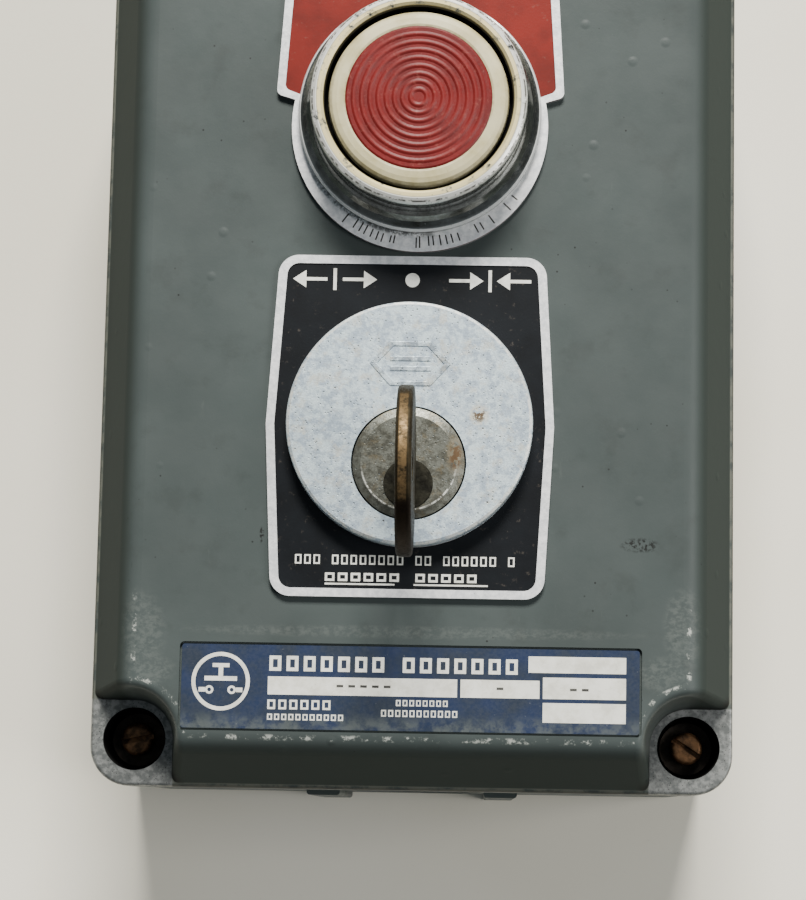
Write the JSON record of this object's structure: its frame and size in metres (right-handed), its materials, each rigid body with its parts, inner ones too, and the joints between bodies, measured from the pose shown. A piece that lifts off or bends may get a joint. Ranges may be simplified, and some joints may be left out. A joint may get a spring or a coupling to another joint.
{
  "type": "key-operated control station",
  "caption": "Surface-mounted cast enclosure with a flush stop button in a bell-shaped ring nut above a key-operated switch, and a conduit hub below.",
  "frame": {"origin": "centre of the back mounting face", "axes": "+Z out of the front of the cover, +Y up the wall, +X to the right"},
  "size_m": [0.1168, 0.1798, 0.1087],
  "materials": {
    "paint": "worn grey-green enamel",
    "gasket": "matt",
    "screw_brass": "tarnished",
    "washer_dark": "blackened",
    "zinc": "zinc plated",
    "name_blue": "printed",
    "legend_red": "enamelled with bare border",
    "legend_black": "enamelled with bare border",
    "chrome": "worn chrome",
    "nickel": "satin, pitted",
    "ivory": "aged ivory",
    "red_insert": "satin",
    "black_plastic": "moulded",
    "block_plastic": "moulded",
    "spring_steel": "bright",
    "copper": "contact alloy",
    "brass": "plain",
    "brass_plug": "dark, worn",
    "key_brass": "aged",
    "die_cast": "as cast"
  },
  "bodies": {
    "station": {"base_housing": "paint", "cover": "paint", "cover_gasket": "gasket", "cover_screws": "screw_brass", "cover_washers": "washer_dark", "conduit_plug": "zinc", "ground_screw": "brass", "nameplate": "name_blue", "stop_legend_plate": "legend_red", "ring_nut": "chrome", "stop_bushing": "die_cast", "stop_seal": "gasket", "stop_return_spring": "spring_steel", "stop_block": "block_plastic", "stop_fixed_contacts": "copper", "stop_terminal_screws": "brass", "stop_block_screws": "zinc", "contact_spring": "spring_steel", "key_legend_plate": "legend_black", "lock_rose": "nickel", "lock_casing": "die_cast", "lock_nut": "zinc", "lock_seal": "gasket", "lock_cylinder": "nickel", "driver_pins": "brass", "pin_springs": "spring_steel", "key_block": "block_plastic", "slide_rails": "zinc", "key_fixed_contacts": "copper", "key_terminal_screws": "brass", "block_posts": "brass", "key_block_screws": "zinc"},
    "stop_button": {"button_shell": "ivory", "button_insert": "red_insert", "button_stem": "black_plastic", "contact_carrier": "black_plastic", "contact_bridge": "copper"},
    "plug": {"lock_plug": "brass_plug", "key_pins": "brass", "lock_cam": "zinc", "cam_screw": "zinc"},
    "key": {"key": "key_brass"},
    "slide": {"contact_slide": "black_plastic", "slide_bridges": "copper"}
  },
  "joints": [
    {"name": "stop_press", "type": "slide", "parent": "station", "child": "stop_button", "axis": [0, 0, -1], "range_m": [0, 0.003], "stiffness_N_per_m": 600, "springref_m": -0.006, "deforming": ["stop_return_spring", "contact_spring"]},
    {"name": "key_turn", "type": "hinge", "parent": "station", "child": "plug", "pos_m": [-0.0009, -0.0352, 0.0781], "axis": [0, 0, 1], "range_deg": [-45, 45]},
    {"name": "key_withdraw", "type": "slide", "parent": "plug", "child": "key", "axis": [0, 0, 1], "range_m": [0, 0.03]},
    {"name": "contact_slide", "type": "slide", "parent": "station", "child": "slide", "axis": [1, 0, 0], "range_m": [-0.0039, 0.0039]}
  ],
  "couplings": [
    {"joint": "contact_slide", "follows": "key_turn", "m_per_rad": 0.00495}
  ]
}
